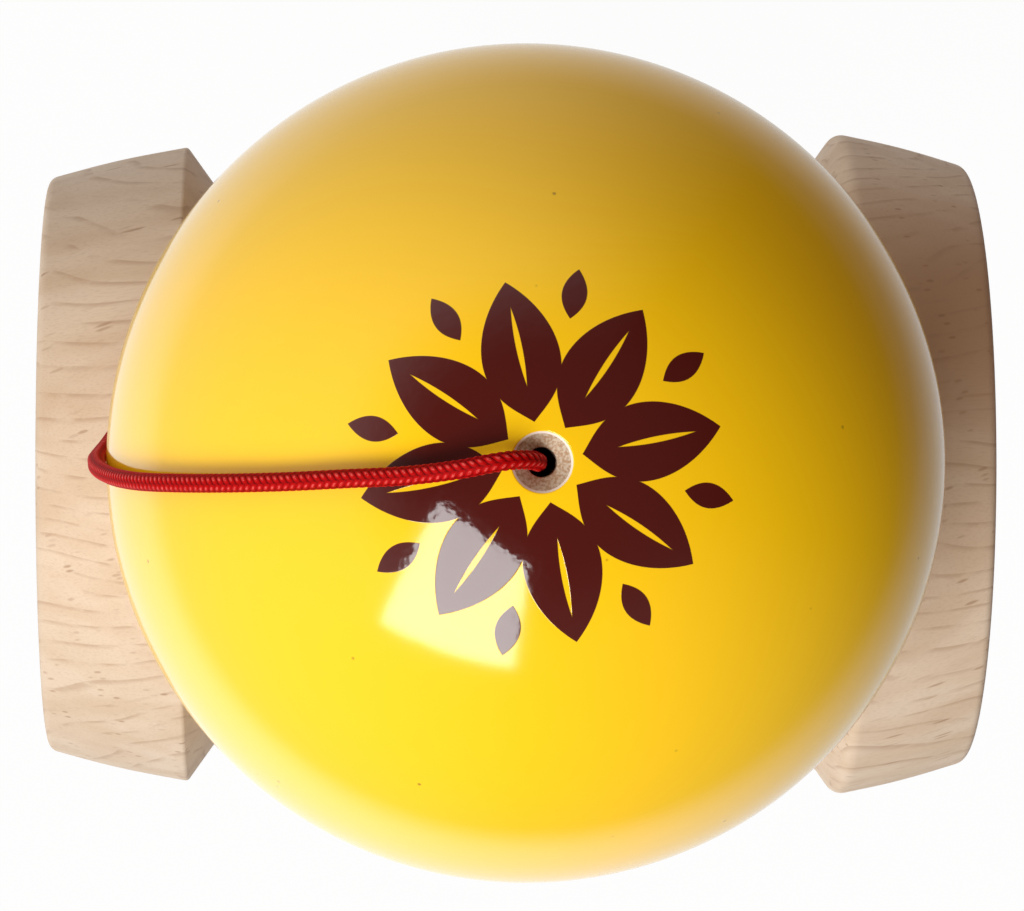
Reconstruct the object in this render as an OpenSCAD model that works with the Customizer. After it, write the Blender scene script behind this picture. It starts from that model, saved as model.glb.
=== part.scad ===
// Cup and ball toy: a turned handle with a spike, a crosspiece with two cups,
// and a bored ball on a string. Millimetres, +Z up the handle, +X to the big cup,
// +Y to the side that the string is tied on. The origin is the middle of the base rim.

/* [Ball] */
// Diameter of the ball
ball_d = 60; // [57:0.5:64]
// Diameter of the hole that takes the spike
hole_d = 22; // [20:0.5:24]
// Depth of the hole's straight wall
hole_depth = 41; // [38:0.5:43]
// Width of the bevel round the hole's mouth
mouth_bevel = 1.5; // [0.6:0.1:2.4]
// Angle of the drill point that ends the hole
point_angle = 118; // [110:1:130]
// Diameter of the string hole through the ball's top
string_hole_d = 2; // [1.8:0.1:2.6]
// Diameter of the countersink round the string hole
countersink_d = 4.2; // [3.4:0.1:5.6]

/* [Crosspiece] */
// Length from one cup's rim to the other's
cross_len = 72.4; // [70:0.2:76]
// Largest diameter of the big cup
big_cup_d = 52.6; // [50:0.2:54]
// Outer diameter of the big cup's rim
big_rim_d = 47.4; // [46:0.2:49]
// Inner diameter of the big cup's rim
big_mouth_d = 42; // [40:0.2:44]
// Width of the big cup's outer band, from its rim to its shoulder
big_band = 10.2; // [9:0.1:11]
// Largest diameter of the small cup
small_cup_d = 50.2; // [48:0.2:52]
// Outer diameter of the small cup's rim
small_rim_d = 45.2; // [44:0.2:47]
// Inner diameter of the small cup's rim
small_mouth_d = 40; // [38:0.2:42]
// Width of the small cup's outer band, from its rim to its shoulder
small_band = 10.9; // [9.6:0.1:11.6]
// Length of the curve at the small cup's shoulder
small_shoulder_ease = 0.25; // [0.2:0.05:0.8]
// How far the outer bands swell past a straight cone
band_swell = 0.25; // [0:0.05:0.5]
// Slope of the cups' backs, radius gained for each millimetre along the axis
back_slope = 1.4; // [1.2:0.05:1.7]
// Diameter of the waist between the cups
waist_d = 26; // [24:0.5:27]
// Length of the curve where a cup's back meets the waist
cove = 4; // [2:0.5:5]

/* [Handle] */
// Height of the crosspiece's axis above the base rim
cross_z = 110; // [104:1:118]
// Diameter of the seat at the crosspiece's axis
seat_d = 15; // [14:0.1:16.5]
// Diameter that the seat loses across the waist
seat_taper = 1; // [0.4:0.1:1.6]
// Largest diameter of the base cup
base_cup_d = 42; // [40:0.2:45]
// Outer diameter of the base cup's rim
base_rim_d = 38.6; // [37.8:0.2:40]
// Inner diameter of the base cup's rim
base_mouth_d = 35; // [33:0.2:36]
// Height of the base cup's shoulder
base_band = 9; // [8:0.2:11]
// Height at which the base cup's back runs out into the handle
foot_z = 21.5; // [19:0.5:25]
// Diameter where the base cup's back runs out
foot_d = 16; // [15:0.2:18]
// Height of the handle's slimmest place
neck_z = 46; // [40:1:52]
// Diameter of the handle's slimmest place
neck_d = 15; // [14:0.2:16.4]
// Drop from the crosspiece's axis to the handle's fullest place
belly_drop = 27; // [25:0.5:32]
// Diameter of the handle's fullest place
belly_d = 18; // [17:0.2:20]
// Diameter of the spike where its tip starts
spike_d = 10.6; // [9:0.2:12]
// Length of the spike's tapered tip
tip_len = 8; // [5:0.5:11]
// Diameter of the spike's blunt end
tip_d = 5.2; // [4:0.2:7]

/* [Cups] */
// Radius of the hollow in every cup
dish_r = 31; // [30.5:0.5:35]
// Length of the curve at a rim's outer edge
rim_ease = 0.7; // [0.3:0.1:1]
// Length of the curve at the big cup's and the base cup's shoulders
shoulder_ease = 0.8; // [0.3:0.1:1.6]

/* [String] */
// Diameter of the string
string_d = 1.2; // [1:0.1:1.4]
// Diameter of the knots
knot_d = 3.2; // [2.8:0.1:3.6]
// Diameter of the stop bead inside the ball
bead_d = 5.8; // [5:0.1:7]
// Diameter of the bead's hole
bead_hole_d = 2; // [1.8:0.1:2.4]
// Diameter of the tie hole through the seat and the crosspiece
tie_hole_d = 2.2; // [1.8:0.1:2.8]
// Diameter of the pocket that hides the tie knot
pocket_d = 4.8; // [4.2:0.1:6]

/* [Clearances] */
// Gap between the resting ball and the crosspiece
seat_gap = 0.2; // [0.1:0.05:0.6]
// Radial gap between the seat and the crosspiece's bore
taper_gap = 0.03; // [0.01:0.01:0.1]
// Gap between the bead and the end of the ball's hole
bead_gap = 0.3; // [0.1:0.05:0.6]
// Gap between a knot and what it stops against
knot_gap = 0.1; // [0.05:0.05:0.3]
// Gap between the spike's end and the knot above it
tip_gap = 2.5; // [1.5:0.1:4]
// How far the string lies off the axis of the ball's string hole
string_lean = 0.25; // [0:0.05:0.25]

/* [Hidden] */
$fn = 96;

// Overshoot that lets a cut run past a face
past = 1;
// Steps along each eased corner of an outline
corner_steps = 6;
// Length of the curve where an outline changes slope gently
gentle = 3;

ball_r = ball_d / 2;
hole_r = hole_d / 2;
waist_r = waist_d / 2;
half_len = cross_len / 2;

// Crosspiece: places of the shoulders along the axis
big_shoulder_x = half_len - big_band;
small_shoulder_x = half_len - small_band;
big_cove_x = big_shoulder_x - (big_cup_d - waist_d) / 2 / back_slope;
small_cove_x = small_shoulder_x - (small_cup_d - waist_d) / 2 / back_slope;

// The ball sinks between the cups' backs until it touches one, or its mouth meets the waist
function rise_on_back(shoulder_x, cup_d) =
  (ball_r + seat_gap) * sqrt(1 + back_slope ^ 2) + cup_d / 2 - back_slope * shoulder_x;
mouth_r = hole_r + mouth_bevel;
mouth_drop = sqrt(ball_r ^ 2 - mouth_r ^ 2);
ball_rise = max(
  rise_on_back(big_shoulder_x, big_cup_d),
  rise_on_back(small_shoulder_x, small_cup_d),
  waist_r + mouth_drop + seat_gap
);
ball_z = cross_z + ball_rise;
ball_top = ball_z + ball_r;

// Inside the ball: the hole's end, the bead in its point and the knot under the bead
mouth_z = ball_z - mouth_drop;
point_half = point_angle / 2;
hole_end_z = mouth_z + hole_depth;
apex_z = hole_end_z + hole_r / tan(point_half);
bead_z = apex_z - (bead_d / 2 + bead_gap) / sin(point_half);
bead_low_z = bead_z - sqrt((bead_d / 2) ^ 2 - (bead_hole_d / 2) ^ 2);
knot_z = bead_low_z - sqrt((knot_d / 2) ^ 2 - (bead_hole_d / 2) ^ 2) - knot_gap;
countersink_depth = (countersink_d - string_hole_d) / 2;
string_exit_z = ball_top - countersink_depth - 3 * string_d;

// Spike and seat: the seat is a slow taper that the crosspiece is pushed down onto
spike_top = knot_z - knot_d / 2 - tip_gap;
taper_rate = seat_taper / waist_d / 2;
function seat_r(z) = seat_d / 2 - taper_rate * (z - cross_z);
seat_low_z = cross_z - waist_r - gentle - past;
seat_high_z = cross_z + waist_r + gentle;

// Tie: a hole across the seat, with the knot's pocket on the far side
pocket_depth = knot_d + 3 * knot_gap;
pocket_y = pocket_depth - seat_d / 2;
tie_knot_y = pocket_y - knot_d / 2 - knot_gap;
tie_end_y = waist_r + string_d / 3;

// The string's free stretch, from the ball's top, over its left side and down behind the crosspiece
string_sides = 8;
route_steps = 2;
string_route = [
  [-0.25, 0, 177.2],
  [-0.25, 0, 178.8],
  [-0.25, 0, 180.2],
  [-0.5, 0.1, 181.4],
  [-1.2, 0.15, 182.45],
  [-2.2, 0.1, 183.15],
  [-3.5, -0.1, 183.4],
  [-5.6, -0.5, 183],
  [-9, -0.9, 181.6],
  [-13, -1.1, 180],
  [-17, -1.3, 177.7],
  [-21, -1.4, 174.6],
  [-24.4, -1.4, 170.8],
  [-27.1, -1.3, 166.7],
  [-29, -1, 162],
  [-30.2, -0.5, 157.4],
  [-30.7, 0.1, 152.8],
  [-30.6, 0.6, 148.4],
  [-30, 1.6, 144.4],
  [-28.7, 3.9, 140.4],
  [-27.2, 7.6, 136.9],
  [-25.9, 11.8, 133.7],
  [-23.9, 15.7, 129.2],
  [-21.6, 17.7, 122.6],
  [-19, 18.2, 115.4],
  [-16.2, 18.4, 108.4],
  [-13.2, 18.4, 101.6],
  [-9.8, 18.2, 95.4],
  [-6.2, 18, 91.4],
  [-2.6, 17.8, 90.8],
  [0.2, 17.8, 93.6],
  [1.3, 18, 98],
  [1.4, 18.3, 102.6],
  [1.3, 18.5, 104.8],
  [1.1, 18.4, 106.6],
  [0.8, 17.9, 108.3],
  [0.4, 16.7, 109.5],
  [0.1, 15, 110],
  [0, 13.4, 110]
];

// An outline through [radius, place, ease] points, with a curve of that reach at each
function unit(v) = v / norm(v);
function flat(p) = [p[0], p[1]];
function eased(a, b, c) =
  let (
    from = flat(b) + b[2] * unit(flat(a) - flat(b)),
    to = flat(b) + b[2] * unit(flat(c) - flat(b))
  )
  [for (i = [0:corner_steps])
    let (t = i / corner_steps)
    (1 - t) ^ 2 * from + 2 * t * (1 - t) * flat(b) + t ^ 2 * to
  ];
function outline(points) = [
  for (i = [0:len(points) - 1])
    each points[i][2] == 0
      ? [flat(points[i])]
      : eased(points[i - 1], points[i], points[i + 1])
];

// The middle of a cup's outer band, swelled past the straight line between its ends
function band_middle(a, b) =
  let (reach = norm(flat(a) - flat(b)) / 4)
  [(a[0] + b[0]) / 2 + band_swell, (a[1] + b[1]) / 2, reach];

// How far a dish's centre stands outside its rim
function dish_out(mouth_d) = sqrt(dish_r ^ 2 - (mouth_d / 2) ^ 2);

// A smooth curve through the route's points
function route_at(p, i, t) =
  let (
    n = len(p) - 1,
    a = p[max(i - 1, 0)],
    b = p[i],
    c = p[min(i + 1, n)],
    d = p[min(i + 2, n)]
  )
  b + t * (c - a) / 2 + t ^ 2 * (a - 2.5 * b + 2 * c - d / 2) + t ^ 3 * (3 * b - a - 3 * c + d) / 2;
function route_points(p) = [
  for (i = [0:len(p) - 2])
    for (k = [0:route_steps - 1])
      route_at(p, i, k / route_steps),
  p[len(p) - 1]
];
function run_at(p, i) = unit(p[min(i + 1, len(p) - 1)] - p[max(i - 1, 0)]);
// A side direction carried along the route without twist
function sides_along(p, i, side) =
  i == len(p)
    ? []
    : let (run = run_at(p, i), now = unit(side - (side * run) * run))
      concat([now], sides_along(p, i + 1, now));

// A round tube along a route
module tube(route, d, sides) {
  centres = route_points(route);
  across = sides_along(centres, 0, [0, 1, 0]);
  n = len(centres);
  rings = [
    for (i = [0:n - 1])
      let (up = cross(run_at(centres, i), across[i]))
      for (k = [0:sides - 1])
        centres[i] + d / 2 * (across[i] * cos(360 * k / sides) + up * sin(360 * k / sides))
  ];
  walls = [
    for (i = [0:n - 2])
      for (k = [0:sides - 1])
        let (a = i * sides + k, b = i * sides + (k + 1) % sides)
        each [[a, a + sides, b], [b, a + sides, b + sides]]
  ];
  start = [for (k = [1:sides - 2]) [0, k, k + 1]];
  last = (n - 1) * sides;
  end = [for (k = [1:sides - 2]) [last, last + k + 1, last + k]];
  polyhedron(points = rings, faces = concat(walls, start, end));
}

// Turned handle: base cup, grip, tapered seat and spike in one piece
module handle_spike() {
  rim = [base_rim_d / 2, 0, rim_ease];
  shoulder = [base_cup_d / 2, base_band, shoulder_ease];
  profile = outline([
    [0, 0, 0],
    rim,
    band_middle(rim, shoulder),
    shoulder,
    [foot_d / 2, foot_z, (foot_z - base_band) * 0.7],
    [neck_d / 2, neck_z, gentle * 4],
    [belly_d / 2, cross_z - belly_drop, gentle * 2],
    [seat_r(seat_low_z), seat_low_z, gentle],
    [seat_r(seat_high_z), seat_high_z, gentle / 2],
    [spike_d / 2, spike_top - tip_len, gentle / 2],
    [tip_d / 2, spike_top, gentle / 3],
    [0, spike_top, 0]
  ]);
  color("burlywood")
    difference() {
      rotate_extrude() polygon(profile);
      translate([0, 0, -dish_out(base_mouth_d)]) sphere(r = dish_r);
      translate([0, seat_d, cross_z]) rotate([90, 0, 0]) cylinder(h = 2 * seat_d, d = tie_hole_d);
      translate([0, pocket_y, cross_z]) rotate([90, 0, 0]) cylinder(h = seat_d, d = pocket_d);
    }
}

// Turned crosspiece with a cup at each end, bored for the seat and drilled for the string
module cup_crosspiece() {
  big_rim = [big_rim_d / 2, half_len, rim_ease];
  big_shoulder = [big_cup_d / 2, big_shoulder_x, shoulder_ease];
  small_shoulder = [small_cup_d / 2, -small_shoulder_x, small_shoulder_ease];
  small_rim = [small_rim_d / 2, -half_len, rim_ease];
  profile = outline([
    [0, half_len, 0],
    big_rim,
    band_middle(big_rim, big_shoulder),
    big_shoulder,
    [waist_r, big_cove_x, cove],
    [waist_r, -small_cove_x, cove],
    small_shoulder,
    band_middle(small_rim, small_shoulder),
    small_rim,
    [0, -half_len, 0]
  ]);
  bore_reach = waist_r + past;
  color("tan")
    translate([0, 0, cross_z])
      difference() {
        rotate([0, 90, 0]) rotate_extrude() polygon(profile);
        translate([half_len + dish_out(big_mouth_d), 0, 0]) sphere(r = dish_r);
        translate([-half_len - dish_out(small_mouth_d), 0, 0]) sphere(r = dish_r);
        translate([0, 0, -bore_reach])
          cylinder(
            h = 2 * bore_reach,
            r1 = seat_r(cross_z - bore_reach) + taper_gap,
            r2 = seat_r(cross_z + bore_reach) + taper_gap
          );
        rotate([-90, 0, 0]) cylinder(h = waist_d, d = tie_hole_d);
      }
}

// Painted ball with the spike's hole below and the string's hole on top
module ball() {
  color("gold")
    difference() {
      translate([0, 0, ball_z]) sphere(d = ball_d);
      translate([0, 0, mouth_z - ball_r]) cylinder(h = ball_r + hole_depth, r = hole_r);
      translate([0, 0, mouth_z - past])
        cylinder(h = mouth_bevel + past, r1 = mouth_r + past, r2 = hole_r);
      translate([0, 0, hole_end_z]) cylinder(h = apex_z - hole_end_z, r1 = hole_r, r2 = 0);
      translate([0, 0, hole_end_z]) cylinder(h = ball_r, d = string_hole_d);
      translate([0, 0, ball_top - countersink_depth])
        cylinder(
          h = countersink_depth + past,
          r1 = string_hole_d / 2,
          r2 = countersink_d / 2 + past
        );
    }
}

// Small wooden bead that keeps the knot out of the string hole
module stop_bead() {
  color("peru")
    translate([0, 0, bead_z])
      difference() {
        sphere(d = bead_d);
        cylinder(h = 2 * bead_d, d = bead_hole_d, center = true);
      }
}

// The string's run through the bead and the ball, with its knot below
module string_in_ball() {
  color("crimson")
    translate([-string_lean, 0, knot_z]) {
      sphere(d = knot_d);
      cylinder(h = string_exit_z - knot_z, d = string_d);
    }
}

// The string's free stretch
module string_free() {
  color("crimson") tube(string_route, string_d, string_sides);
}

// The string's run through the crosspiece and the seat, with its knot in the pocket
module string_tie() {
  color("crimson")
    translate([0, tie_knot_y, cross_z])
      rotate([-90, 0, 0]) {
        sphere(d = knot_d);
        cylinder(h = tie_end_y - tie_knot_y, d = string_d);
      }
}

handle_spike();
cup_crosspiece();
ball();
stop_bead();
string_in_ball();
string_free();
string_tie();
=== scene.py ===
from math import asin, cos, hypot, pi, radians, sin, sqrt

import bmesh
import bpy
from mathutils import Matrix, Vector


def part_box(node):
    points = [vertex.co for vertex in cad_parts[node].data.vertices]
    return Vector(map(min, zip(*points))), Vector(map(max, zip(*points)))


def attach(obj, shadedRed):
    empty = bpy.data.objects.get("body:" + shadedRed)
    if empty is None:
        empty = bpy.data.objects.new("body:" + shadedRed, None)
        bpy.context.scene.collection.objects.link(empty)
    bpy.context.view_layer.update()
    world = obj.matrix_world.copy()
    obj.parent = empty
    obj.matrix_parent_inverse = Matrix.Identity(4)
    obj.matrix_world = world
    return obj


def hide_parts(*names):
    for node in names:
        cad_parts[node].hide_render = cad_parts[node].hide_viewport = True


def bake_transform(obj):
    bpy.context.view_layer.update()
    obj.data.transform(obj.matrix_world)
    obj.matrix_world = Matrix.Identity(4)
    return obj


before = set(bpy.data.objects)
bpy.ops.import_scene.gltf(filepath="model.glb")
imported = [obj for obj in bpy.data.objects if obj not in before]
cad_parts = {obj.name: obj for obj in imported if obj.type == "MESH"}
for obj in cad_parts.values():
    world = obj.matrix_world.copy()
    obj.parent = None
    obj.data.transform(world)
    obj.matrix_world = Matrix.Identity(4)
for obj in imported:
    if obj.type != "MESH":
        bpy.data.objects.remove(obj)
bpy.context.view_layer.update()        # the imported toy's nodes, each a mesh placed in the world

mm = 0.001
print("frame loaded:", len(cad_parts), "nodes")


# A node socket: operators on it add Math nodes, and add() puts in any other node
class Wire:
    def __init__(self, tree, socket=None):
        self.tree = tree
        self.socket = socket

    def add(self, kind, settings=None, inputs=None, out=0):
        node = self.tree.nodes.new(kind)
        for name, value in (settings or {}).items():
            if name == "keeps":              # the values that a Capture Attribute node holds on to
                for sort, label in value:
                    node.capture_items.new(sort, label)
            else:
                setattr(node, name, value)
        for name, value in (inputs or {}).items():
            self.feed(node.inputs[name], value)
        return Wire(self.tree, node.outputs[out])

    def feed(self, target, value):
        if isinstance(value, Wire):
            self.tree.links.new(value.socket, target)
        else:
            target.default_value = value

    def also(self, name):                    # another output of the same node
        return Wire(self.tree, self.socket.node.outputs[name])

    def math(self, operation, *others):
        values = dict(enumerate((self,) + others))
        return self.add("ShaderNodeMath", {"operation": operation}, values)

    def __add__(self, other):
        return self.math("ADD", other)

    def __sub__(self, other):
        return self.math("SUBTRACT", other)

    def __mul__(self, other):
        return self.math("MULTIPLY", other)

    def __truediv__(self, other):
        return self.math("DIVIDE", other)

    def __rsub__(self, other):
        return self.add("ShaderNodeMath", {"operation": "SUBTRACT"}, {0: other, 1: self})

    __radd__ = __add__
    __rmul__ = __mul__

    def rise(self, low, high):               # 0 at low, 1 at high, smooth between and level outside
        settings = {"interpolation_type": "SMOOTHSTEP"}
        return self.add("ShaderNodeMapRange", settings, {"Value": self, "From Min": low, "From Max": high})

    def tint(self, first, second):           # first colour where this is 0, second where it is 1
        return self.add("ShaderNodeMix", {"data_type": "RGBA"}, {0: self, 6: first, 7: second}, 2)

    def noise(self, scale, detail, out=0):
        return self.add("ShaderNodeTexNoise", None, {"Vector": self, "Scale": scale, "Detail": detail}, out)

    def cells(self, scale, channel):         # distance to the nearest scattered point, and its own chance
        away = self.add("ShaderNodeTexVoronoi", None, {"Vector": self, "Scale": scale}, "Distance")
        return away, self.add("ShaderNodeSeparateColor", None, {"Color": away.also("Color")}, channel)

    def vector(self, operation, other):
        return self.add("ShaderNodeVectorMath", {"operation": operation}, {0: self, 1: other})

    def length(self):
        return self.add("ShaderNodeVectorMath", {"operation": "LENGTH"}, {0: self}, "Value")


def linear(red, green, blue):                # an sRGB colour, 0 to 255, as a shader takes it
    parts = [c / 255 for c in (red, green, blue)]
    return tuple(c / 12.92 if c < 0.04045 else ((c + 0.055) / 1.055) ** 2.4 for c in parts) + (1,)


def newFinish(name, constants):              # a material whose shader has these inputs set
    mat = bpy.data.materials.new(name)
    mat.use_nodes = True
    shader = mat.node_tree.nodes["Principled BSDF"]
    for socket, value in constants.items():
        shader.inputs[socket].default_value = value
    return mat, Wire(mat.node_tree), shader


def addBump(wire, shader, height, strength, depth):
    bump = wire.add("ShaderNodeBump", None, {"Height": height, "Strength": strength, "Distance": depth})
    wire.feed(shader.inputs["Normal"], bump)


def rays(wire):                              # 1 for the camera's own rays, and 1 for those of reflections
    seen = wire.add("ShaderNodeLightPath", out="Is Camera Ray")
    return seen, seen.also("Is Glossy Ray").math("MAXIMUM", seen.also("Is Transmission Ray"))


def newObject(name, data):
    obj = bpy.data.objects.new(name, data)
    bpy.context.collection.objects.link(obj)
    return obj


def shapeObject(name, shape):                # from a bmesh
    mesh = bpy.data.meshes.new(name)
    shape.to_mesh(mesh)
    shape.free()
    return newObject(name, mesh)


def placed(at, right, back):                 # for a camera or lamp, which looks away from its back
    return Matrix.Translation(at) @ Matrix((right, back.cross(right), back)).transposed().to_4x4()


# Camera, straight above the ball
ballLow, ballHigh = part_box("ball")
ballSize = {
    "radius": (ballHigh.x - ballLow.x) / 2,
    "holeRadius": 11 * mm,
    "mouthBevel": 1.5 * mm,
    "holeDepth": 41 * mm,
    "pointHalfAngle": radians(59),           # of the drill point that ends the hole
    "stringHole": 1 * mm,                    # radius
    "countersink": 2.1 * mm,                 # radius
    "sinkFootEase": 0.12 * mm,
    "sinkRimEase": 0.08 * mm,
    "mouthEase": 0.25 * mm,
    "bevelEase": 0.4 * mm,                   # where the bevel meets the hole
    "pointEase": 0.3 * mm,                   # where the hole meets the drill point
    "arcSteps": 150,                         # of the outline, from the countersink to the mouth
    "segments": 240,
}
mouthRadius = ballSize["holeRadius"] + ballSize["mouthBevel"]
mouthDrop = sqrt(ballSize["radius"] ** 2 - mouthRadius ** 2)
ballCentre = Vector((0, 0, ballLow.z + mouthDrop))

viewer = {
    "distance": 380.4 * mm,                  # from the ball's centre
    "lens": 186.6,                           # millimetres, as is the sensor's width
    "sensor": 36,
    "nearest": 0.01,                         # metres from the camera, where its view starts
    "leanX": radians(2.08),                  # off the vertical, to the small cup
    "leanY": radians(0.115),
    "picture": (1024, 911),                  # pixels
    "ballPixel": (526, 463),                 # where the ball's centre lies in the picture
}


def makeCamera(v):
    wide, high = v["picture"]
    back = Vector((-sin(v["leanX"]), -sin(v["leanY"]), 1)).normalized()
    right = Vector((0, 1, 0)).cross(back).normalized()
    up = back.cross(right)
    pixel = v["distance"] * v["sensor"] / v["lens"] / wide       # metres at the ball's centre
    aside = (wide / 2 - v["ballPixel"][0]) * pixel
    above = (v["ballPixel"][1] - high / 2) * pixel
    eye = ballCentre + back * v["distance"]
    aim = ballCentre + right * aside + up * above
    back = (eye - aim).normalized()
    right = up.cross(back).normalized()
    camera = newObject("camera", bpy.data.cameras.new("camera"))
    camera.data.lens = v["lens"]
    camera.data.sensor_width = v["sensor"]
    camera.data.clip_start = v["nearest"]
    camera.matrix_world = placed(eye, right, back)
    bpy.context.scene.camera = camera


makeCamera(viewer)
print("camera ready")

# Geometry trees: inputs are set by identifier, and the result becomes a plain mesh
seamGap = 1e-6                               # metres, points that close a turned piece's seam and ends
doubleGap = 1e-7                             # metres, doubled points of any mesh


def newTree(name, inputs):
    tree = bpy.data.node_groups.new(name, "GeometryNodeTree")
    for label, sort in inputs:
        tree.interface.new_socket(label, in_out="INPUT", socket_type=sort)
    tree.interface.new_socket("Piece", in_out="OUTPUT", socket_type="NodeSocketGeometry")
    wire = Wire(tree)
    entry = wire.add("NodeGroupInput")
    return tree, wire, entry


def endTree(wire, shape, finish):
    smooth = wire.add("GeometryNodeSetShadeSmooth", None, {0: shape})
    whole = wire.add("GeometryNodeRealizeInstances", None, {0: smooth})
    dressed = wire.add("GeometryNodeSetMaterial", None, {0: whole, "Material": finish})
    wire.feed(wire.tree.nodes.new("NodeGroupOutput").inputs["Piece"], dressed)


def lineObject(name, points):
    mesh = bpy.data.meshes.new(name)
    mesh.from_pydata(points, [(i, i + 1) for i in range(len(points) - 1)], [])
    return newObject(name, mesh)


def setMesh(obj):                            # the evaluated shape, with its modifiers used up
    graph = bpy.context.evaluated_depsgraph_get()
    done = obj.evaluated_get(graph)
    mesh = bpy.data.meshes.new_from_object(done, preserve_all_data_layers=True, depsgraph=graph)
    obj.modifiers.clear()
    obj.data = mesh
    mesh.name = obj.name


def closeUp(mesh):                           # no doubles, and faces that point outwards
    shape = bmesh.new()
    shape.from_mesh(mesh)
    bmesh.ops.remove_doubles(shape, verts=shape.verts, dist=doubleGap)
    bmesh.ops.recalc_face_normals(shape, faces=shape.faces)
    shape.to_mesh(mesh)
    shape.free()


def grow(obj, tree, values):
    modifier = obj.modifiers.new(tree.name, "NODES")
    modifier.node_group = tree
    for item in tree.interface.items_tree:
        if item.in_out == "INPUT" and item.name in values:
            modifier[item.identifier] = values[item.name]
    setMesh(obj)
    closeUp(obj.data)


# Cord: a round braid along a route, its picks in columns that lean by turns left and right
cord = {
    "diameter": 1.2 * mm,
    "columns": 6,                            # of picks, round the cord
    "pick": 0.525 * mm,                      # length of one pick along the cord
    "lean": 0.4,                             # of a pick across its column
    "stagger": 0.5,                          # of a pick, from one column to the next
    "relief": 0.11 * mm,                     # height of the picks
    "pickPower": 0.6,                        # a smaller one gives blunter picks
    "columnDrop": 0.55,                      # share of the height lost at a column's edges
    "evenLift": 0.5,                         # share of the height that lies on the cord's own radius
    "sides": 36,
    "ringStep": 0.075 * mm,
    "routeSteps": 12,                        # of the curve, from one point of the route to the next
    "freeRoute": [                           # millimetres, from the ball's top to the crosspiece
        (-0.25, 0, 177.2), (-0.25, 0, 178.8), (-0.25, 0, 180.2), (-0.5, 0.1, 181.4),
        (-1.2, 0.15, 182.45), (-2.2, 0.1, 183.15), (-3.5, -0.1, 183.4), (-5.6, -0.5, 183),
        (-9, -0.9, 181.6), (-13, -1.1, 180), (-17, -1.3, 177.7), (-21, -1.4, 174.6),
        (-24.4, -1.4, 170.8), (-27.1, -1.3, 166.7), (-29, -1, 162), (-30.2, -0.5, 157.4),
        (-30.7, 0.1, 152.8), (-30.6, 0.6, 148.4), (-30, 1.6, 144.4), (-28.7, 3.9, 140.4),
        (-27.2, 7.6, 136.9), (-25.9, 11.8, 133.7), (-23.9, 15.7, 129.2), (-21.6, 17.7, 122.6),
        (-19, 18.2, 115.4), (-16.2, 18.4, 108.4), (-13.2, 18.4, 101.6), (-9.8, 18.2, 95.4),
        (-6.2, 18, 91.4), (-2.6, 17.8, 90.8), (0.2, 17.8, 93.6), (1.3, 18, 98),
        (1.4, 18.3, 102.6), (1.3, 18.5, 104.8), (1.1, 18.4, 106.6), (0.8, 17.9, 108.3),
        (0.4, 16.7, 109.5), (0.1, 15, 110), (0, 13.4, 110),
    ],
    "blendStart": Vector((-0.6, 13.1, 110.6)) * mm,  # still on the handle
    "blendEnd": Vector((-32.6, -0.6, 140.2)) * mm,   # wholly with the ball's string end
    "knotWraps": 2,                          # round the standing cord, in each stopper knot
    "knotRadius": 1 * mm,                    # of the wraps' middle
    "knotHeight": 2.2 * mm,
    "knotSteps": 6,                          # as routeSteps
    "wrapPoints": 8,                         # of a knot's route, in each wrap
    "standing": (0, 0.4, 0.7, 1),            # points of it before the knot, as shares of the way there
    "knotFoot": 0.55,                        # how far it goes below the knot's middle, of the height
    "turnBack": (0.45, 0.72),                # aside and down where it turns, of the radius and the height
    "wrapRise": (-0.5, 0.85),                # start of the wraps and their rise, of the height
    "tail": (1.3, 0.7, 0.55),                # its end, of the radius twice and the height
}


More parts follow.
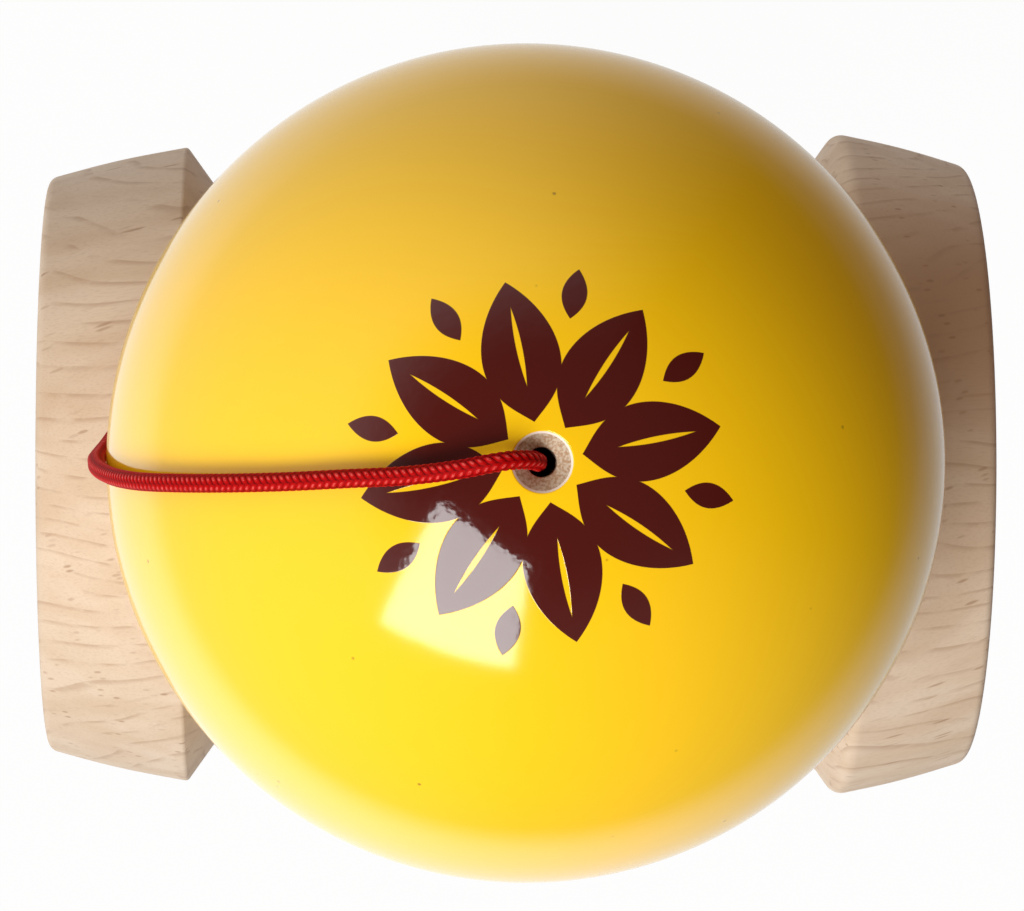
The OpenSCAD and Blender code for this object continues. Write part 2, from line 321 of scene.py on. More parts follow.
def braidedCordTree():
    tree, wire, entry = newTree("braidedCord", (
        ("Route", "NodeSocketGeometry"), ("Radius", "NodeSocketFloat"), ("Columns", "NodeSocketInt"),
        ("Pick", "NodeSocketFloat"), ("Lean", "NodeSocketFloat"), ("Relief", "NodeSocketFloat"),
        ("Sides", "NodeSocketInt"), ("Ring Step", "NodeSocketFloat"), ("Finish", "NodeSocketMaterial")))
    line = wire.add("GeometryNodeMeshToCurve", None, {"Mesh": entry})
    line = wire.add("GeometryNodeResampleCurve", {"mode": "LENGTH"},
                    {"Curve": line, "Length": entry.also("Ring Step")})
    spot = wire.add("GeometryNodeInputPosition")
    run = wire.add("GeometryNodeSplineParameter", out="Length")
    line = wire.add("GeometryNodeCaptureAttribute", {"keeps": (("FLOAT", "along"), ("VECTOR", "middle"))},
                    {"Geometry": line, "along": run, "middle": spot})
    ring = wire.add("GeometryNodeCurvePrimitiveCircle", None,
                    {"Resolution": entry.also("Sides"), "Radius": entry.also("Radius")})
    share = wire.add("GeometryNodeSplineParameter", out="Factor")
    ring = wire.add("GeometryNodeCaptureAttribute", {"keeps": (("FLOAT", "around"),)},
                    {"Geometry": ring, "around": share})
    tube = wire.add("GeometryNodeCurveToMesh", None,
                    {"Curve": line, "Profile Curve": ring, "Fill Caps": True})
    # across a column from -1 to 1, and along a pick from -1 to 1
    place = ring.also("around") * entry.also("Columns")
    column = place.math("FLOOR")
    across = (place - column) * 2 - 1
    odd = column.math("MODULO", 2)
    lean = (odd * 2 - 1) * across * entry.also("Lean")
    step = line.also("along") / entry.also("Pick") + lean + odd * cord["stagger"]
    stretch = step.math("FRACT") * 2 - 1
    lift = (1 - stretch * stretch).math("POWER", cord["pickPower"])
    lift = lift * (1 - across * across * cord["columnDrop"])
    out = spot.vector("SUBTRACT", line.also("middle"))
    out = out.add("ShaderNodeVectorMath", {"operation": "NORMALIZE"}, {0: out})
    height = (lift - cord["evenLift"]) * entry.also("Relief")
    out = out.add("ShaderNodeVectorMath", {"operation": "SCALE"}, {0: out, "Scale": height})
    tube = wire.add("GeometryNodeSetPosition", None, {"Geometry": tube, "Offset": out})
    tube = wire.add("GeometryNodeStoreNamedAttribute", {"data_type": "FLOAT", "domain": "POINT"},
                    {"Geometry": tube, "Name": "pickLift", "Value": lift})
    endTree(wire, tube, entry.also("Finish"))
    return tree


def cordFinish():                            # red yarn, with painted highlights on the picks' crowns and painted shade in the grooves between them
    look = {
        # painted shade: the dark red laid in the grooves between picks
        "grooveShade": linear(92, 3, 5),
        "red": linear(179, 5, 6),
        # painted highlight: the pale pink laid on the picks' crowns
        "crownHighlight": linear(238, 104, 98),
        "specular": 0.06,
        "yarn": (9000, 2),                   # noise: scale and detail
        "patch": (900, 2),
        "redFrom": (0.05, 0.75),             # lift over which the painted groove shade turns to red
        "highlightFrom": (0.8, 0.98),            # and red to the painted highlight
        "yarnFrom": (0.3, 0.55),             # yarn that takes the painted highlight
        "highlightShare": (0.38, 0.55),          # its least, and what a patch adds
        "rough": 0.62,
        "crownGloss": 0.16,                  # roughness that a pick's crown loses
        "yarnRough": 0.1,
        "bump": (0.35, 0.03 * mm),           # strength and depth
    }
    mat, wire, shader = newFinish("redCord", {"Specular IOR Level": look["specular"]})
    lift = wire.add("ShaderNodeAttribute", {"attribute_name": "pickLift"}, out="Fac")
    place = wire.add("ShaderNodeTexCoord", out="Object")
    yarn = place.noise(*look["yarn"])
    patch = place.noise(*look["patch"])
    # painted shade: dark red where a pick's lift is low, in the grooves between picks
    shadedRed = lift.rise(*look["redFrom"]).tint(look["grooveShade"], look["red"])
    least, more = look["highlightShare"]
    # painted highlight: pale pink on the crowns of the picks, broken up by yarn and patches
    paintedHighlight = lift.rise(*look["highlightFrom"]) * yarn.rise(*look["yarnFrom"]) * (least + more * patch)
    wire.feed(shader.inputs["Base Color"], paintedHighlight.tint(shadedRed, look["crownHighlight"]))
    rough = look["rough"] - look["crownGloss"] * lift + look["yarnRough"] * yarn
    wire.feed(shader.inputs["Roughness"], rough)
    addBump(wire, shader, yarn, *look["bump"])
    return mat


def smoothRoute(points, steps):              # a Catmull-Rom curve through the points
    last = len(points) - 1
    path = []
    for i in range(last):
        a, b, c, d = (points[min(max(k, 0), last)] for k in range(i - 1, i + 3))
        for k in range(steps):
            t = k / steps
            path.append(b + t * (c - a) / 2 + t * t * (a - 2.5 * b + 2 * c - d / 2)
                        + t ** 3 * (3 * b - a - 3 * c + d) / 2)
    return path + [points[last]]


def stopperKnot(end, knot):                  # from the cord's end, down its middle, then back up round it
    height = cord["knotHeight"]
    radius = cord["knotRadius"]
    points = [Vector((0, 0, end * (1 - share) + knot * share)) for share in cord["standing"]]
    points.append(Vector((0, 0, knot - height * cord["knotFoot"])))
    aside, down = cord["turnBack"]
    points.append(Vector((radius * aside, 0, knot - height * down)))
    start, rise = cord["wrapRise"]
    turns = cord["wrapPoints"] * cord["knotWraps"]
    for k in range(1, turns + 1):
        angle = 2 * pi * k / cord["wrapPoints"]
        up = knot + height * start + height * rise * k / turns
        points.append(Vector((radius * cos(angle), radius * sin(angle), up)))
    x, y, up = cord["tail"]
    points.append(Vector((radius * x, radius * y, knot + height * up)))
    return points


def braid(name, tree, path, finish):
    obj = lineObject(name, path)
    grow(obj, tree, {
        "Radius": cord["diameter"] / 2, "Columns": cord["columns"], "Pick": cord["pick"],
        "Lean": cord["lean"], "Relief": cord["relief"], "Sides": cord["sides"],
        "Ring Step": cord["ringStep"], "Finish": finish})
    return obj


def makeCords():
    tree = braidedCordTree()
    finish = cordFinish()
    freePath = smoothRoute([Vector(p) * mm for p in cord["freeRoute"]], cord["routeSteps"])
    free = braid("cordFree", tree, freePath, finish)
    # the run inside the ball ends where the free stretch starts, and the tied run where it stops
    ballLowEnd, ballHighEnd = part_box("string_in_ball")
    tieLow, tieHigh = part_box("string_tie")
    knotHalf = (tieHigh.z - tieLow.z) / 2
    inside = stopperKnot(ballHighEnd.z, ballLowEnd.z + knotHalf)
    moved = Matrix.Translation((freePath[0].x, 0, 0))
    inBall = braid("cordInBall", tree, smoothRoute([moved @ p for p in inside], cord["knotSteps"]), finish)
    tied = stopperKnot(tieHigh.y, tieLow.y + knotHalf)
    turned = Matrix.Translation((0, 0, freePath[-1].z)) @ Matrix.Rotation(-pi / 2, 4, "X")
    tie = braid("cordTie", tree, smoothRoute([turned @ p for p in tied], cord["knotSteps"]), finish)

    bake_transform(free)
    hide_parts("string_free")
    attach(inBall, "string_end")
    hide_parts("string_in_ball")
    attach(tie, "handle")
    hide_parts("string_tie")
    return free, freePath, [inBall, tie]


cordFree, cordPath, cordEnds = makeCords()
print("cords made")


# Turned pieces: an outline of (radius, place) points is carried round an axis
def turnedPieceTree():
    tree, wire, entry = newTree("turnedPiece", (
        ("Outline", "NodeSocketGeometry"), ("Segments", "NodeSocketInt"),
        ("Lies Along X", "NodeSocketBool"), ("Place", "NodeSocketVector"),
        ("Finish", "NodeSocketMaterial")))
    segments = entry.also("Segments")
    rows = wire.add("GeometryNodeAttributeDomainSize", None, {0: entry}, "Point Count")
    grid = wire.add("GeometryNodeMeshGrid", None, {"Vertices X": segments + 1, "Vertices Y": rows})
    index = wire.add("GeometryNodeInputIndex")
    column = ((index + 0.5) / rows).math("FLOOR")        # the half keeps rounding away from a whole number
    row = index - column * rows
    spot = wire.add("GeometryNodeInputPosition")
    point = wire.add("GeometryNodeSampleIndex", {"data_type": "FLOAT_VECTOR"},
                     {"Geometry": entry, "Value": spot, "Index": row})
    radius = wire.add("ShaderNodeSeparateXYZ", None, {"Vector": point}, "X")
    along = radius.also("Z")
    angle = column / segments * (2 * pi)
    side = radius * angle.math("COSINE")
    rise = radius * angle.math("SINE")
    upright = wire.add("ShaderNodeCombineXYZ", None, {"X": side, "Y": rise, "Z": along})
    lying = wire.add("ShaderNodeCombineXYZ", None, {"X": along, "Y": side, "Z": rise})
    turned = wire.add("GeometryNodeSwitch", {"input_type": "VECTOR"},
                      {"Switch": entry.also("Lies Along X"), "False": upright, "True": lying})
    shape = wire.add("GeometryNodeSetPosition", None,
                     {"Geometry": grid, "Position": turned, "Offset": entry.also("Place")})
    shape = wire.add("GeometryNodeMergeByDistance", None, {"Geometry": shape, "Distance": seamGap})
    endTree(wire, shape, entry.also("Finish"))
    return tree


turnedTree = turnedPieceTree()
turning = {                                  # what all turned pieces share
    "longest": 0.8 * mm,                     # step along an outline
    "easeSteps": 8,                          # of a rounded corner
    "dishRadius": 31 * mm,                   # of the cups' hollows
    "dishSteps": 40,
    "bandSwell": 0.25 * mm,                  # of a cup's outer band past a straight cone
    "bandEase": 0.25,                        # of the band's width, each way from its middle
    "rimEase": 0.7 * mm,
    "lipEase": 0.35 * mm,
    "shoulderEase": 0.8 * mm,
    "boreSides": 96,
    "tieSides": 48,                          # of the string's hole through crosspiece and handle
    "sharpFrom": radians(32),                # edges left crisp by a drill
}


def easedOutline(corners):                   # a corner with an ease is rounded over that reach each way
    steps = turning["easeSteps"]
    line = []
    for i, (radius, place, ease) in enumerate(corners):
        here = Vector((radius, 0, place))
        if ease == 0:
            line.append(here)
            continue
        before = Vector((corners[i - 1][0], 0, corners[i - 1][1]))
        after = Vector((corners[i + 1][0], 0, corners[i + 1][1]))
        start = here + ease * (before - here).normalized()
        stop = here + ease * (after - here).normalized()
        for k in range(steps + 1):
            t = k / steps
            line.append((1 - t) ** 2 * start + 2 * t * (1 - t) * here + t * t * stop)
    return line


def spaced(line, longest):                   # the same outline with no step over the longest
    roundUp = 0.49
    points = [line[0]]
    for a, b in zip(line, line[1:]):
        parts = max(1, round((b - a).length / longest + roundUp))
        points += [a.lerp(b, k / parts) for k in range(1, parts + 1)]
    return points


def turnPiece(name, corners, place, finish, segments, lies=False, longest=turning["longest"]):
    obj = lineObject(name, spaced(easedOutline(corners), longest))
    grow(obj, turnedTree, {"Segments": segments, "Lies Along X": lies, "Place": place, "Finish": finish})
    return obj


def dish(mouth, rimAt, sign):                # a cup's hollow, from its middle out to its mouth
    radius = turning["dishRadius"]
    steps = turning["dishSteps"]
    centre = rimAt + sign * sqrt(radius ** 2 - mouth ** 2)
    widest = asin(mouth / radius)
    angles = [widest * k / steps for k in range(steps)]
    return [(radius * sin(a), centre - sign * radius * cos(a), 0) for a in angles]


def cupCorners(rimAt, sign, rim, mouth, widest, band, shoulderEase):     # from the hollow to the shoulder
    edge = (rim, rimAt, turning["rimEase"])
    shoulder = (widest, rimAt - sign * band, shoulderEase)
    ease = turning["bandEase"] * hypot(rim - widest, edge[1] - shoulder[1])
    band = ((rim + widest) / 2 + turning["bandSwell"], (edge[1] + shoulder[1]) / 2, ease)
    return dish(mouth, rimAt, sign) + [(mouth, rimAt, turning["lipEase"]), edge, band, shoulder]


def rod(start, end, startRadius, endRadius, sides):      # a cutter for drilled and tapered holes
    run = end - start
    spin = run.to_track_quat("Z", "Y").to_matrix().to_4x4()
    shape = bmesh.new()
    bmesh.ops.create_cone(shape, cap_ends=True, segments=sides, radius1=startRadius, radius2=endRadius,
                          depth=run.length, matrix=Matrix.Translation((start + end) / 2) @ spin)
    return shapeObject("cutter", shape)


def drill(obj, cutters):
    for cutter in cutters:
        modifier = obj.modifiers.new("drill", "BOOLEAN")
        modifier.operation = "DIFFERENCE"
        modifier.solver = "EXACT"
        modifier.object = cutter
    setMesh(obj)
    for cutter in cutters:
        bpy.data.objects.remove(cutter)
    obj.data.set_sharp_from_angle(angle=turning["sharpFrom"])


# Beech: thin growth lines round a far pith, fine fibre, short darker flecks that slant across it, and a
# browner streak of painted shade where the ball's shadow falls on the big cup
def beech(name, log):
    look = {
        "pale": linear(218, 199, 177),
        "warm": linear(208, 185, 159),
        # painted shade: the browner tone that stands in for the ball's shadow on the big cup
        "paintedShade": linear(188, 155, 124),
        "late": linear(176, 145, 118),
        "fleck": linear(158, 122, 94),
        "specular": 0.25,
        "ringWidth": 1.5,                    # millimetres, as are the lengths below
        "wander": (11, 30, 1.5),             # how far the grain strays, over what length, and its detail
        "ringsAlong": 0.02,                  # what a length along the grain counts for in the rings
        "waver": (40, 7, 1),                 # noise in the rings: length, width and detail
        "waverRings": 2,                     # how many rings it spans
        "breaks": (7, 1.3, 2),               # noise that breaks up the growth lines
        "fibre": (4.5, 0.11, 3),
        "cloud": (20, 3, 2),
        "fleckRoom": (3.8, 0.56, 0.56),      # of one fleck, along and across the grain
        "fleckSlant": radians(-16),
        "shadeReach": (32, 16, 16),          # of the browner streak of painted shade, along and across the grain
        "lateFrom": (0.7, 0.95),             # growth lines: share of a ring where they start
        "lateTo": (1, 0.96),                 # and end
        "breakFrom": (0.38, 0.62),
        "fleckEdge": (0.3, 0.12),
        "fleckChance": (0.5, 1),
        "shadeEdge": (1, 0.25),
        "cloudFrom": (0.3, 0.7),
        "fibreFrom": (0.45, 0.75),
        "lateShare": 0.55,                   # of each tone laid over the wood
        "fibreShare": 0.25,
        "fleckShare": 0.6,
        "rough": (0.52, 0.14, 0.06),         # roughness, with what fibre and flecks add
        "fibreHeight": 0.6,
        "fleckDepth": 0.5,
        "bump": (0.25, 0.02 * mm),           # strength and depth
    }
    mat, wire, shader = newFinish(name, {"Specular IOR Level": look["specular"]})
    place = wire.add("ShaderNodeTexCoord", out="Object")
    grain = wire.add("ShaderNodeMapping", None,
                     {"Vector": place, "Rotation": log["grainTurn"], "Scale": (1 / mm,) * 3})
    far, over, detail = look["wander"]
    stray = grain.noise(1 / over, detail, "Color")
    stray = stray.vector("SUBTRACT", (0.5, 0.5, 0.5)).vector("MULTIPLY", (0, far, far))
    wavy = grain.vector("ADD", stray)

    def streaks(along, across, detail):      # noise drawn out along the grain
        return wavy.vector("MULTIPLY", (1 / along, 1 / across, 1 / across)).noise(1, detail)

    away = wavy.vector("SUBTRACT", (0,) + log["pith"]).vector("MULTIPLY", (look["ringsAlong"], 1, 1))
    rings = away.length() / look["ringWidth"]
    late = (rings + streaks(*look["waver"]) * look["waverRings"]).math("FRACT")
    late = late.rise(*look["lateFrom"]) * late.rise(*look["lateTo"])
    late = late * streaks(*look["breaks"]).rise(*look["breakFrom"])
    fibre = streaks(*look["fibre"])
    cloud = streaks(*look["cloud"])
    slanted = wire.add("ShaderNodeMapping", None, {"Vector": grain, "Rotation": (0, 0, look["fleckSlant"])})
    fleck, chance = slanted.vector("DIVIDE", look["fleckRoom"]).cells(1, "Red")
    fleck = fleck.rise(*look["fleckEdge"]) * chance.rise(*look["fleckChance"])
    # painted shade: a browner streak round a given middle, standing in for the ball's shadow on the big cup
    shadePatch = grain.vector("SUBTRACT", log["paintedShade"]).vector("DIVIDE", look["shadeReach"])
    shadePatch = shadePatch.length().rise(*look["shadeEdge"])

    colour = cloud.rise(*look["cloudFrom"]).tint(look["pale"], look["warm"])
    colour = shadePatch.tint(colour, look["paintedShade"])
    colour = (late * look["lateShare"]).tint(colour, look["late"])
    colour = (fibre.rise(*look["fibreFrom"]) * look["fibreShare"]).tint(colour, look["late"])
    colour = (fleck * look["fleckShare"]).tint(colour, look["fleck"])
    wire.feed(shader.inputs["Base Color"], colour)
    rough, fibreRough, fleckRough = look["rough"]
    wire.feed(shader.inputs["Roughness"], rough + fibreRough * fibre + fleckRough * fleck)
    height = fibre * look["fibreHeight"] - fleck * look["fleckDepth"]
    addBump(wire, shader, height, *look["bump"])
    return mat


# Ball: lacquered outside, bare wood in its holes, with a printed flower round the string hole
def ballFinish():
    look = {
        "yellow": linear(252, 203, 14),
        "brown": linear(78, 20, 14),
        "primer": linear(240, 228, 214),
        "wood": linear(199, 183, 160),
        "endGrain": linear(170, 136, 104),
        "ior": 1.54,
        "petals": 8,                         # large ones, with as many small ones between their ends
        "largePetal": (2.7, 12.2, 2.62),     # millimetres from the axis: start, end, half width
        "smallPetal": (9.7, 13.1, 0.85),
        "vein": (5.2, 10.4, 0.2),            # left yellow in each large petal
        "largeTurn": 0.25,                   # of the room that one petal has round the axis
        "smallTurn": 0.75,
        "petalEdge": 0.03,                   # millimetres, as are the lengths below
        "printFrom": (-1, 1),                # above the ball's centre, so only its upper half has print
        "primerFrom": (0.04, 0.07),          # below the surface
        "bareFrom": (0.16, 0.22),
        "speckScale": 0.32,
        "speckEdge": (0.06, 0.02),
        "speckChance": (0.72, 0.8),
        "speckShare": 0.6,
        "peel": (0.5, 1),                    # noise: scale and detail
        "ripple": (1.3, 1.5),
        "poreScale": (6, 6, 1.2),
        "poreDetail": 2,
        "poreFrom": (0.35, 0.65),
        "rough": 0.11,
        "printGloss": 0.04,                  # roughness that the print loses
        "primerRough": 0.5,
        "peelHeight": 0.25,
        "rippleHeight": 0.6,
        "speckDepth": 0.4,
        "bump": (1, 0.02 * mm),              # strength and depth
    }
    mat, wire, shader = newFinish("ballLacquer", {"IOR": look["ior"]})
    place = wire.add("ShaderNodeTexCoord", out="Object")
    local = place.vector("SUBTRACT", ballCentre).vector("DIVIDE", (mm, mm, mm))
    x = wire.add("ShaderNodeSeparateXYZ", None, {"Vector": local}, "X")
    y = x.also("Y")
    top = x.also("Z").rise(*look["printFrom"])
    depth = ballSize["radius"] / mm - local.length()

    # the flower, in turns round the axis
    reach = (x * x + y * y).math("SQRT")
    turns = y.math("ARCTAN2", x) / (2 * pi)

    def petal(shift, size):
        start, end, half = size
        share = (turns * look["petals"] + shift).math("FRACT") - 0.5
        aside = (share * (2 * pi / look["petals"])).math("SINE") * reach
        middle = (reach - (start + end) / 2) / ((end - start) / 2)
        width = (1 - middle * middle) * half
        return (width - aside.math("ABSOLUTE")).rise(-look["petalEdge"], look["petalEdge"])

    marks = petal(look["largeTurn"], look["largePetal"]) * (1 - petal(look["largeTurn"], look["vein"]))
    marks = marks.math("MAXIMUM", petal(look["smallTurn"], look["smallPetal"])) * top

    # small specks and pits, a slight peel, and ripples in the thicker print
    speck, chance = local.cells(look["speckScale"], "Green")
    speck = speck.rise(*look["speckEdge"]) * chance.rise(*look["speckChance"])
    peel = local.noise(*look["peel"])
    ripple = local.noise(*look["ripple"])
    pores = local.vector("MULTIPLY", look["poreScale"]).noise(1, look["poreDetail"])

    bare = depth.rise(*look["bareFrom"])     # below the lacquer and its primer
    primed = depth.rise(*look["primerFrom"])
    wood = pores.rise(*look["poreFrom"]).tint(look["endGrain"], look["wood"])
    colour = marks.tint(look["yellow"], look["brown"])
    colour = (speck * look["speckShare"]).tint(colour, look["brown"])
    colour = primed.tint(colour, look["primer"])
    colour = bare.tint(colour, wood)
    wire.feed(shader.inputs["Base Color"], colour)
    rough = look["rough"] - marks * look["printGloss"] + primed * look["primerRough"]
    wire.feed(shader.inputs["Roughness"], rough)
    height = peel * look["peelHeight"] + ripple * marks * look["rippleHeight"] - speck * look["speckDepth"]
    addBump(wire, shader, height, *look["bump"])
    return mat


def makeBall(s):
    tilt = s["pointHalfAngle"]
    top = sqrt(s["radius"] ** 2 - s["countersink"] ** 2)         # above the centre, as are all these
    sinkFoot = s["radius"] - (s["countersink"] - s["stringHole"])
    holeEnd = s["holeDepth"] - mouthDrop
    pointTop = holeEnd + (s["holeRadius"] - s["stringHole"]) * cos(tilt) / sin(tilt)
    first = asin(s["countersink"] / s["radius"])
    last = pi - asin(mouthRadius / s["radius"])
    corners = [
        (s["stringHole"], pointTop, 0),
        (s["stringHole"], sinkFoot, s["sinkFootEase"]),
        (s["countersink"], top, s["sinkRimEase"]),
    ]
    for k in range(1, s["arcSteps"]):
        angle = first + (last - first) * k / s["arcSteps"]
        corners.append((s["radius"] * sin(angle), s["radius"] * cos(angle), 0))
    corners += [
        (mouthRadius, -mouthDrop, s["mouthEase"]),
        (s["holeRadius"], s["mouthBevel"] - mouthDrop, s["bevelEase"]),
        (s["holeRadius"], holeEnd, s["pointEase"]),
        (s["stringHole"], pointTop, 0),
    ]
    obj = turnPiece("lacqueredBall", corners, ballCentre, ballFinish(), s["segments"])
    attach(obj, "ball")
    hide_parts("ball")


makeBall(ballSize)
print("ball made")

# Crosspiece: a cup at each end, turned about X, bored for the handle's taper
crossLow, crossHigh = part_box("cup_crosspiece")
crossSize = {
    "half": crossHigh.x,
    "bigRim": 23.7 * mm,
    "bigMouth": 21 * mm,
    "bigCup": 26.3 * mm,
    "bigBand": 10.2 * mm,
    "smallRim": 22.6 * mm,
    "smallMouth": 20 * mm,
    "smallCup": 25.1 * mm,
    "smallBand": 10.9 * mm,
    "smallShoulderEase": 0.25 * mm,
    "backSlope": 1.4,
    "waist": 13 * mm,
    "cove": 4 * mm,
    "tieHole": 1.1 * mm,
    "taperGap": 0.03 * mm,
    "drillPast": 2 * mm,                     # how far a drill comes out of the waist
    "segments": 200,
    "grainTurn": (0, 0, 0),                  # brings the grain along X
    "pith": (-80, 122),                      # millimetres, across the grain
    "paintedShade": (42, 13, 133),                  # middle of the browner streak of painted shade, where the ball's shadow falls on the big cup
}
axisHeight = (crossLow.z + crossHigh.z) / 2
seatRadius = 7.5 * mm                        # of the handle at the crosspiece's axis
seatTaper = 0.5 / 26                         # radius lost for each length up the handle


def seat(height):
    return seatRadius - seatTaper * (height - axisHeight)


def makeCrosspiece(s):
    def cup(sign, rim, mouth, widest, band, ease):       # from the middle of the hollow to the waist
        coveAt = s["half"] - band - (widest - s["waist"]) / s["backSlope"]
        corners = cupCorners(sign * s["half"], sign, rim, mouth, widest, band, ease)
        return corners + [(s["waist"], sign * coveAt, s["cove"])]

    corners = cup(1, s["bigRim"], s["bigMouth"], s["bigCup"], s["bigBand"], turning["shoulderEase"])
    corners += reversed(cup(-1, s["smallRim"], s["smallMouth"], s["smallCup"], s["smallBand"],
                            s["smallShoulderEase"]))
    middle = Vector((0, 0, axisHeight))
    obj = turnPiece("cupCrosspiece", corners, middle, beech("cupBeech", s), s["segments"], True)
    reach = s["waist"] + s["drillPast"]
    low = middle - Vector((0, 0, reach))
    high = middle + Vector((0, 0, reach))
    side = middle + Vector((0, reach, 0))
    drill(obj, [
        rod(low, high, seat(low.z) + s["taperGap"], seat(high.z) + s["taperGap"], turning["boreSides"]),
        rod(middle, side, s["tieHole"], s["tieHole"], turning["tieSides"])])
    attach(obj, "handle")
    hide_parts("cup_crosspiece")


makeCrosspiece(crossSize)
print("crosspiece made")

# Handle: base cup, grip, tapered seat and spike
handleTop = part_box("handle_spike")[1].z
handleSize = {
    "baseRim": 19.3 * mm,
    "baseMouth": 17.5 * mm,
    "baseCup": 21 * mm,
    "baseBand": 9 * mm,
    "foot": (8 * mm, 21.5 * mm, 8.75 * mm),      # radius, height, ease
    "neck": (7.5 * mm, 46 * mm, 12 * mm),
    "belly": (9 * mm, 83 * mm, 6 * mm),
    "seatFrom": (93 * mm, 3 * mm),               # height, ease
    "seatTo": (126 * mm, 1.5 * mm),
    "spike": (5.3 * mm, 8 * mm, 1.5 * mm),       # radius, length of the tip above it, ease
    "tip": (2.6 * mm, 1 * mm),                   # radius, ease
    "pocket": 2.4 * mm,                          # radius, for the tie knot
    "pocketFloor": 4 * mm,                       # from the axis
    "pocketSides": 64,
    "segments": 160,
    "grainTurn": (0, pi / 2, 0),                 # as the crosspiece's three
    "pith": (38, -30),
    # middle of the painted shade streak, placed out of this piece's reach
    "paintedShade": (0, 60, 60),
}


def makeHandle(s):
    seatFoot, footEase = s["seatFrom"]
    seatTop, topEase = s["seatTo"]
    spike, tipLength, spikeEase = s["spike"]
    tip, tipEase = s["tip"]
    corners = cupCorners(0, -1, s["baseRim"], s["baseMouth"], s["baseCup"], s["baseBand"],
                         turning["shoulderEase"])
    corners += [
        s["foot"], s["neck"], s["belly"],
        (seat(seatFoot), seatFoot, footEase),
        (seat(seatTop), seatTop, topEase),
        (spike, handleTop - tipLength, spikeEase),
        (tip, handleTop, tipEase),
        (0, handleTop, 0)]
    obj = turnPiece("handleSpike", corners, Vector(), beech("handleBeech", s), s["segments"])
    middle = Vector((0, 0, axisHeight))
    across = Vector((0, 2 * seatRadius, 0))
    floor = middle - Vector((0, s["pocketFloor"], 0))
    tieHole = crossSize["tieHole"]
    drill(obj, [
        rod(middle - across, middle + across, tieHole, tieHole, turning["tieSides"]),
        rod(middle - across, floor, s["pocket"], s["pocket"], s["pocketSides"])])
    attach(obj, "handle")
    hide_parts("handle_spike")


makeHandle(handleSize)
print("handle made")

# Stop bead, inside the ball
beadLow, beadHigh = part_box("stop_bead")
beadSize = {
    "radius": 2.9 * mm,
    "hole": 1 * mm,
    "lip": 0.15 * mm,
    "arcSteps": 36,                          # of the outline, from one end of the hole to the other
    "longest": 0.3 * mm,                     # step along the outline
    "segments": 72,
    "grainTurn": (0, pi / 2, 0),             # as the crosspiece's three
    "pith": (9, 6),
    # middle of the painted shade streak, placed out of this piece's reach
    "paintedShade": (0, 60, 60),
}


def makeBead(s):
    first = asin(s["hole"] / s["radius"])
    corners = [(s["hole"], 0, 0), (s["hole"], s["radius"] * cos(first), s["lip"])]
    for k in range(1, s["arcSteps"]):
        angle = first + (pi - 2 * first) * k / s["arcSteps"]
        corners.append((s["radius"] * sin(angle), s["radius"] * cos(angle), 0))
    corners += [(s["hole"], -s["radius"] * cos(first), s["lip"]), (s["hole"], 0, 0)]
    middle = Vector((0, 0, (beadLow.z + beadHigh.z) / 2))
    finish = beech("beadBeech", s)
    obj = turnPiece("stopBead", corners, middle, finish, s["segments"], longest=s["longest"])
    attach(obj, "string_end")
    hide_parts("stop_bead")
    return obj


bead = makeBead(beadSize)
cordLength = sum((b - a).length for a, b in zip(cordPath, cordPath[1:]))
cordEnds + [bead]
print("bead made, free cord", round(cordLength, 4))

# Stage: a white table top, one softbox, and a room that is pale on the left and dim on the right
stage = {
    "tableRadius": 0.36,
    "tableSides": 96,
    "tableTop": -0.2 * mm,
    "tableWhite": (0.74, 0.74, 0.74, 1),
    "tableFade": (0.36, 0.19),               # reflections of it fade out between these radii
    "whiteToCamera": 0.96,                   # of the table's look that is plain white, near the toy
    "whiteFrom": (0.1, 0.3),                 # radii between which the rest turns white too
    "glossMiddle": 0.95,                     # level at which the table glows in reflections, a painted reflection of its top lit from the softbox side, at its middle
    "glossSlope": Vector((-3.2, -1.7)),      # and its gain for each metre
    "glossLimits": (0.2, 1.8),
    "boxFrom": Vector((-0.256, -0.559, 0.789)),      # direction of the softbox from the ball
    "boxBack": Vector((-0.761, -0.515, 0.396)),      # direction that its back faces
    "boxSide": Vector((0.644, -0.676, 0.359)),       # direction of its width
    "boxDistance": 0.75,
    "boxSize": 0.47,
    "boxPower": 6.3,
    "paleSide": Vector((-0.94, 0.34)),       # where the room is brightest, seen from above
    "wall": 0.46,                            # middle level of its walls
    "wallSwing": (0.44, 0.55),               # rise and fall round that, for light and in reflections
    "wallLeast": 0.03,
    "rightFront": (0.3, 0.5),                # gain of the right wall's front, for light and in reflections
    "rightBack": 0.5,                        # loss of its back, in reflections
    "warmSide": Vector((0.94, 0.34)),        # where the walls' light is dimmed and warmed
    "warmFrom": (0.45, 1),
    "warmTint": (0.7, 0.3, 0.22, 1),
    "ceiling": (0.36, 0.08),                 # for light and in reflections
    "ceilingSlope": -0.2,                    # its gain to the right
    "ceilingTint": (1, 0.66, 0.42, 1),       # of its light
    "ceilingFrom": (0.55, 0.9),              # rise of the direction at which the walls give way to it
    "poleGuard": 0.0001,                     # keeps the walls' sums finite straight above
}


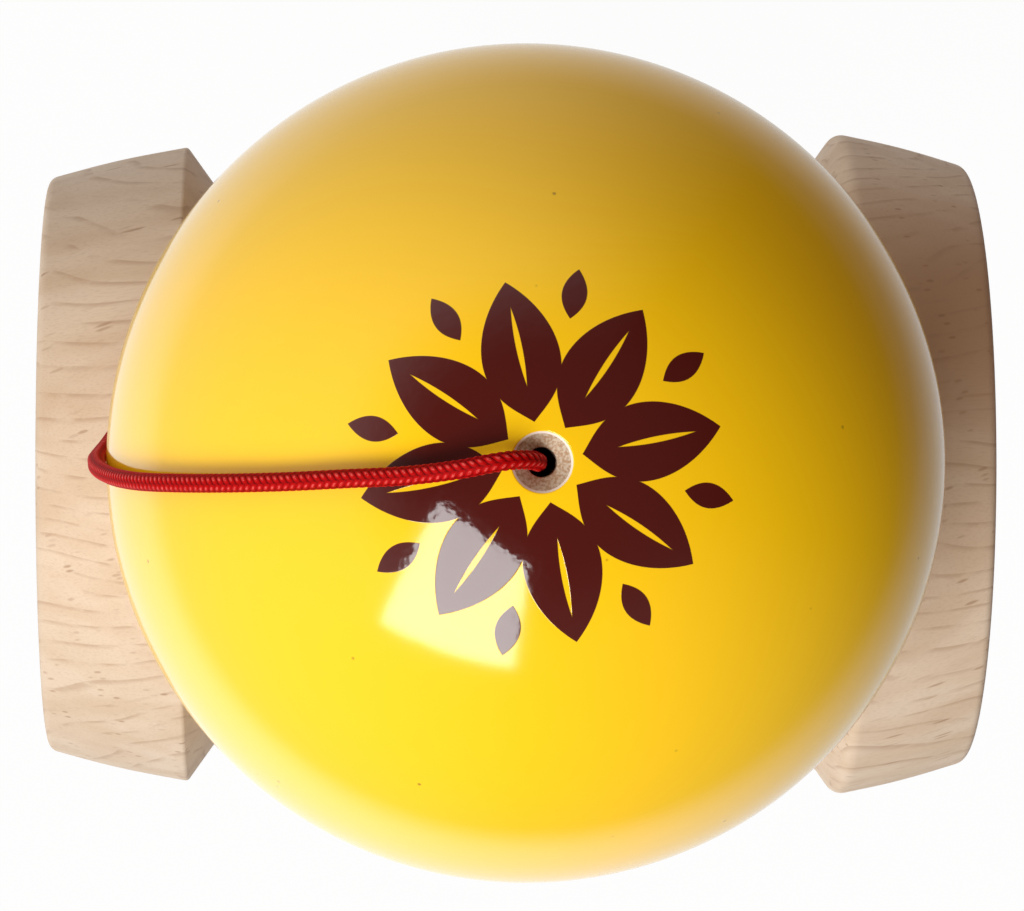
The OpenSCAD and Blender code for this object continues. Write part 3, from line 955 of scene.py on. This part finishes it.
def makeTable(s):
    shape = bmesh.new()
    bmesh.ops.create_circle(shape, cap_ends=True, segments=s["tableSides"], radius=s["tableRadius"])
    bmesh.ops.translate(shape, verts=shape.verts, vec=(0, 0, s["tableTop"]))
    obj = shapeObject("table", shape)
    mat = bpy.data.materials.new("whiteTable")
    mat.use_nodes = True
    mat.node_tree.nodes.clear()
    wire = Wire(mat.node_tree)
    paper = wire.add("ShaderNodeBsdfDiffuse", None, {"Color": s["tableWhite"]})
    seen, mirrored = rays(wire)
    place = wire.add("ShaderNodeTexCoord", out="Object")
    x = wire.add("ShaderNodeSeparateXYZ", None, {"Vector": place}, "X")
    y = x.also("Y")
    least, most = s["glossLimits"]
    # painted reflection: in reflections the table glows brighter towards the softbox side, as its lit top
    # would
    level = x * s["glossSlope"].x + y * s["glossSlope"].y + s["glossMiddle"]
    level = level.math("MAXIMUM", least).math("MINIMUM", most)
    white = wire.add("ShaderNodeEmission", None, {"Strength": seen + mirrored * level})
    radius = (x * x + y * y).math("SQRT")
    plain = s["whiteToCamera"] + (1 - s["whiteToCamera"]) * radius.rise(*s["whiteFrom"])
    share = seen * plain + mirrored
    look = wire.add("ShaderNodeMixShader", None, {0: share, 1: paper, 2: white})
    below = wire.add("ShaderNodeNewGeometry", out="Backfacing")
    gone = (mirrored * (1 - radius.rise(*s["tableFade"]))).math("MAXIMUM", below)
    clear = wire.add("ShaderNodeBsdfTransparent")
    look = wire.add("ShaderNodeMixShader", None, {0: gone, 1: look, 2: clear})
    wire.feed(mat.node_tree.nodes.new("ShaderNodeOutputMaterial").inputs["Surface"], look)
    obj.data.materials.append(mat)


def makeSoftbox(s):
    lamp = bpy.data.lights.new("softbox", "AREA")
    lamp.shape = "SQUARE"
    lamp.size = s["boxSize"]
    lamp.energy = s["boxPower"]
    back = s["boxBack"].normalized()
    side = (s["boxSide"] - back * s["boxSide"].dot(back)).normalized()
    obj = newObject("softbox", lamp)
    obj.matrix_world = placed(ballCentre + s["boxFrom"].normalized() * s["boxDistance"], side, back)
    obj.visible_camera = False


def makeRoom(s):
    world = bpy.data.worlds.new("room")
    world.use_nodes = True
    world.node_tree.nodes.clear()
    wire = Wire(world.node_tree)
    way = wire.add("ShaderNodeTexCoord", out="Generated")
    x = wire.add("ShaderNodeSeparateXYZ", None, {"Vector": way}, "X")
    y = x.also("Y")
    level = (x * x + y * y + s["poleGuard"]).math("SQRT")
    seen, mirrored = rays(wire)
    pairs = (s["wallSwing"], s["rightFront"], s["ceiling"])
    swing, front, ceiling = (low + (high - low) * mirrored for low, high in pairs)
    ceiling = ceiling + (1 - mirrored) * x * s["ceilingSlope"]
    wall = (x * s["paleSide"].x + y * s["paleSide"].y) / level * swing + s["wall"]
    right = x.math("MAXIMUM", 0) * y / (level * level)
    wall = wall - right.math("MINIMUM", 0) * front - right.math("MAXIMUM", 0) * mirrored * s["rightBack"]
    wall = wall.math("MAXIMUM", s["wallLeast"])
    above = x.also("Z").rise(*s["ceilingFrom"])
    room = wall + (ceiling - wall) * above
    lights = (1 - mirrored) * (1 - seen)
    warm = ((x * s["warmSide"].x + y * s["warmSide"].y) / level).rise(*s["warmFrom"])
    colour = (warm * lights).tint((1, 1, 1, 1), s["warmTint"])
    colour = (above * lights).tint(colour, s["ceilingTint"])
    glow = wire.add("ShaderNodeBackground", None, {"Strength": room + (1 - room) * seen, "Color": colour})
    wire.feed(world.node_tree.nodes.new("ShaderNodeOutputWorld").inputs["Surface"], glow)
    bpy.context.scene.world = world


makeTable(stage)
makeSoftbox(stage)
makeRoom(stage)
bpy.context.scene.view_settings.view_transform = "Standard"
print("stage made")
